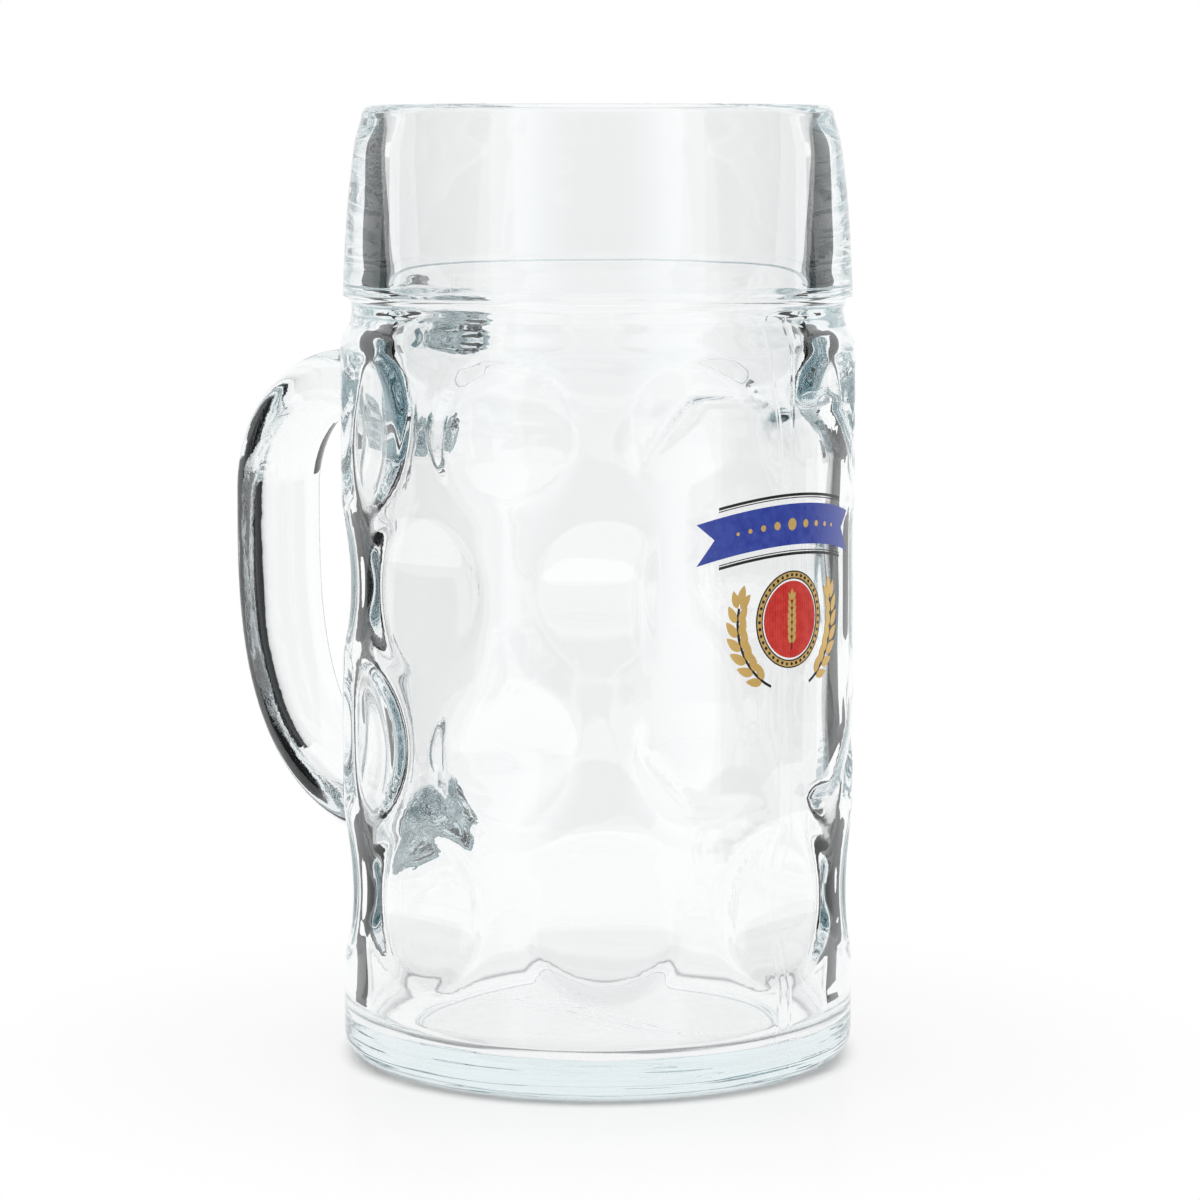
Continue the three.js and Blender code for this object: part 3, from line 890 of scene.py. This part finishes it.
blue = enamel_material("enamel_blue", ink=(0.02, 0.042, 0.3, 1), worn=(0.045, 0.085, 0.42, 1),
                       drift=0.6, pinholes=0.4)
red = enamel_material("enamel_red", ink=(0.6, 0.022, 0.014, 1), worn=(0.72, 0.06, 0.035, 1),
                      drift=0.5, pinholes=0.5)
hatch(red, scale=420, deep=(0.42, 0.012, 0.01, 1))
black = enamel_material("enamel_black", ink=(0.009, 0.009, 0.011, 1), worn=(0.03, 0.03, 0.034, 1),
                        drift=0.7, pinholes=0.35)
gold = enamel_material("enamel_gold", ink=(0.6, 0.36, 0.09, 1), worn=(0.72, 0.5, 0.2, 1),
                       drift=0.45, pinholes=0.3)
gold.node_tree.nodes["Principled BSDF"].inputs["Metallic"].default_value = 0.35
shade_across(gold, low=-0.016, high=0.016, dark=(0.3, 0.15, 0.035, 1), bright=(0.72, 0.47, 0.14, 1),
             along=(0, 1, -0.3))


def place_print(piece, node, inks):
    """Gives a layer of the print its inks and its place on the mug."""
    for ink in inks:
        piece.data.materials.append(ink)
    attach(piece, "root")
    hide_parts(node)


side_length = SIDE_EAR_RADIUS * (SIDE_EAR_END - SIDE_EAR_START)
place_print(print_ribbon(), "print_blue_ribbon", [blue, black, gold])
place_print(print_rule("rule_enamel_upper", 1), "print_black_rule_upper", [black])
place_print(print_rule("rule_enamel_lower", -1), "print_black_rule_lower", [black])
place_print(print_medal_rim(), "print_gold_rim", [gold, black])
place_print(print_medal_field(), "print_red_field", [red, black])
place_print(print_ear("ear_enamel_middle", middle_ear_line, MIDDLE_EAR_LENGTH, SECOND_FIRING),
            "print_gold_ear_middle", [gold, black])
place_print(print_ear("ear_enamel_left", side_ear_line(-1), side_length, FIRST_FIRING),
            "print_gold_ear_left", [gold, black])
place_print(print_ear("ear_enamel_right", side_ear_line(1), side_length, FIRST_FIRING),
            "print_gold_ear_right", [gold, black])


def lay_floor():
    """Glowing white floor that turns into a plain pale surface near the foot and takes a shadow there,
    with painted shade: that surface is darker than the glow even out of shadow, most in a ring under the
    foot.
    """
    bm = bmesh.new()
    bmesh.ops.create_circle(bm, cap_ends=True, segments=96, radius=FLOOR_REACH)
    floor = finished("floor", bm)
    material, nodes, links = new_material("floor_white")
    shader = nodes["Principled BSDF"]
    shader.inputs["Base Color"].default_value = (0.9, 0.9, 0.9, 1)
    shader.inputs["Roughness"].default_value = 0.2
    shader.inputs["Specular IOR Level"].default_value = 0.5
    glow = nodes.new("ShaderNodeEmission")
    coords = nodes.new("ShaderNodeTexCoord")
    length = nodes.new("ShaderNodeVectorMath")
    length.operation = "LENGTH"
    links.new(coords.outputs["Object"], length.inputs[0])
    reach = length.outputs["Value"]
    # painted shade: near the foot a quarter of the glow gives way to the lit surface, which takes the
    # mug's real shadow and is a little darker than the glow even where no shadow falls
    near = map_range(nodes, links, reach, SHADOW_AND_PAINTED_SHADE_REACH, BODY_RADIUS * MM, top=SHADOW_AND_PAINTED_SHADE_SHARE, smooth=True)
    off_foot = math_node(nodes, links, "SUBTRACT", reach, CONTACT_RADIUS)
    off_foot = math_node(nodes, links, "ABSOLUTE", off_foot)
    # painted shade: in a narrow ring under the foot the glow gives way almost wholly to the lit surface,
    # a dark line that is darker than the glow even out of shadow, with the mug's real shadow on it too
    ring = map_range(nodes, links, off_foot, CONTACT_WIDTH, 0.0, top=CONTACT_SHADOW_AND_PAINTED_SHADE_SHARE, smooth=True)
    mix = nodes.new("ShaderNodeMixShader")
    links.new(math_node(nodes, links, "ADD", near, ring), mix.inputs["Fac"])
    links.new(glow.outputs["Emission"], mix.inputs[1])
    links.new(shader.outputs["BSDF"], mix.inputs[2])
    links.new(mix.outputs["Shader"], nodes["Material Output"].inputs["Surface"])
    floor.data.materials.append(material)


def light_world():
    """Plain white light from all round."""
    world = bpy.data.worlds.new("studio")
    bpy.context.scene.world = world
    world.use_nodes = True
    back = world.node_tree.nodes["Background"]
    back.inputs["Color"].default_value = (1, 1, 1, 1)
    back.inputs["Strength"].default_value = 1.0


def tone_at(turn, tones):
    """Tone of a card at an angle, between the marks given for it."""
    for (start, dark), (end, bright) in zip(tones, tones[1:]):
        if turn <= end:
            return dark + (bright - dark) * max(turn - start, 0) / (end - start)
    return tones[-1][1]


def set_stand(camera):
    """Stand on the mug's axis that turns with the camera, so the cards keep their places in the view."""
    stand = bpy.data.objects.new("card_stand", None)
    bpy.context.scene.collection.objects.link(stand)
    turn = stand.constraints.new("LOCKED_TRACK")
    turn.target = camera
    turn.track_axis = "TRACK_NEGATIVE_Y"
    turn.lock_axis = "LOCK_Z"
    return stand


def set_card(name, shape, stand, mirrored=False, lit_in_gloss=False):
    """Upright card round the mug, seen only through the glass or, where lit in gloss, in it."""
    reach, foot, top, tones = shape
    start, end = math.radians(tones[0][0]), math.radians(tones[-1][0])
    bm = bmesh.new()
    low = bm.verts.new((0, reach, foot))
    high = bm.verts.new((0, reach, top))
    edge = bm.edges.new((low, high))
    bmesh.ops.rotate(bm, verts=bm.verts, cent=(0, 0, 0), matrix=Matrix.Rotation(-start, 3, "Z"))
    bmesh.ops.spin(bm, geom=[low, high, edge], cent=(0, 0, 0), axis=(0, 0, 1), angle=start - end,
                   steps=CARD_STEPS)
    if mirrored:
        bmesh.ops.scale(bm, verts=bm.verts, vec=(-1, 1, 1))
    card = finished(name, bm)
    tone = card.data.attributes.new("tone", "FLOAT", "POINT")
    for vert in card.data.vertices:
        across = -vert.co.x if mirrored else vert.co.x
        turn = math.degrees(math.atan2(across, vert.co.y)) % 360
        tone.data[vert.index].value = tone_at(turn, tones)
    card.parent = stand
    card.visible_camera = False
    card.visible_diffuse = False
    card.visible_shadow = False
    card.visible_glossy = lit_in_gloss
    material, nodes, links = new_material(name)
    shade = nodes.new("ShaderNodeAttribute")
    shade.attribute_name = "tone"
    glow = nodes.new("ShaderNodeEmission")
    glow.inputs["Color"].default_value = CARD_TINT
    links.new(shade.outputs["Fac"], glow.inputs["Strength"])
    links.new(glow.outputs["Emission"], nodes["Material Output"].inputs["Surface"])
    card.data.materials.append(material)


def set_camera():
    """Camera at the photograph's viewing angle."""
    data = bpy.data.cameras.new("camera")
    data.lens = VIEW_LENS
    data.sensor_width = VIEW_SENSOR
    data.shift_x = VIEW_SHIFT
    data.clip_start = NEAREST_SEEN
    camera = bpy.data.objects.new("camera", data)
    bpy.context.scene.collection.objects.link(camera)
    level = Vector((-math.sin(VIEW_TURN), math.cos(VIEW_TURN), 0))
    ahead = level * math.cos(VIEW_DROP) - Vector((0, 0, math.sin(VIEW_DROP)))
    camera.location = (Vector((0, 0, VIEW_HEIGHT)) - level * VIEW_DISTANCE) * MM
    camera.rotation_mode = "QUATERNION"
    camera.rotation_quaternion = ahead.to_track_quat("-Z", "Y")
    bpy.context.scene.camera = camera
    return camera


lay_floor()
light_world()
camera = set_camera()
stand = set_stand(camera)
for mirrored, side in ((False, "right"), (True, "left")):
    set_card("card_band_" + side, BAND_CARD, stand, mirrored)
    set_card("card_wall_" + side, WALL_CARD, stand, mirrored)
    set_card("card_foot_" + side, FOOT_CARD, stand, mirrored)
    set_card("card_side_" + side, SIDE_CARD, stand, mirrored, lit_in_gloss=True)
set_card("card_front", FRONT_CARD, stand, lit_in_gloss=True)
bpy.context.scene.view_settings.view_transform = "Standard"
bpy.context.scene.cycles.max_bounces = LIGHT_BOUNCES
bpy.context.scene.cycles.glossy_bounces = LIGHT_BOUNCES
bpy.context.scene.cycles.transmission_bounces = LIGHT_BOUNCES
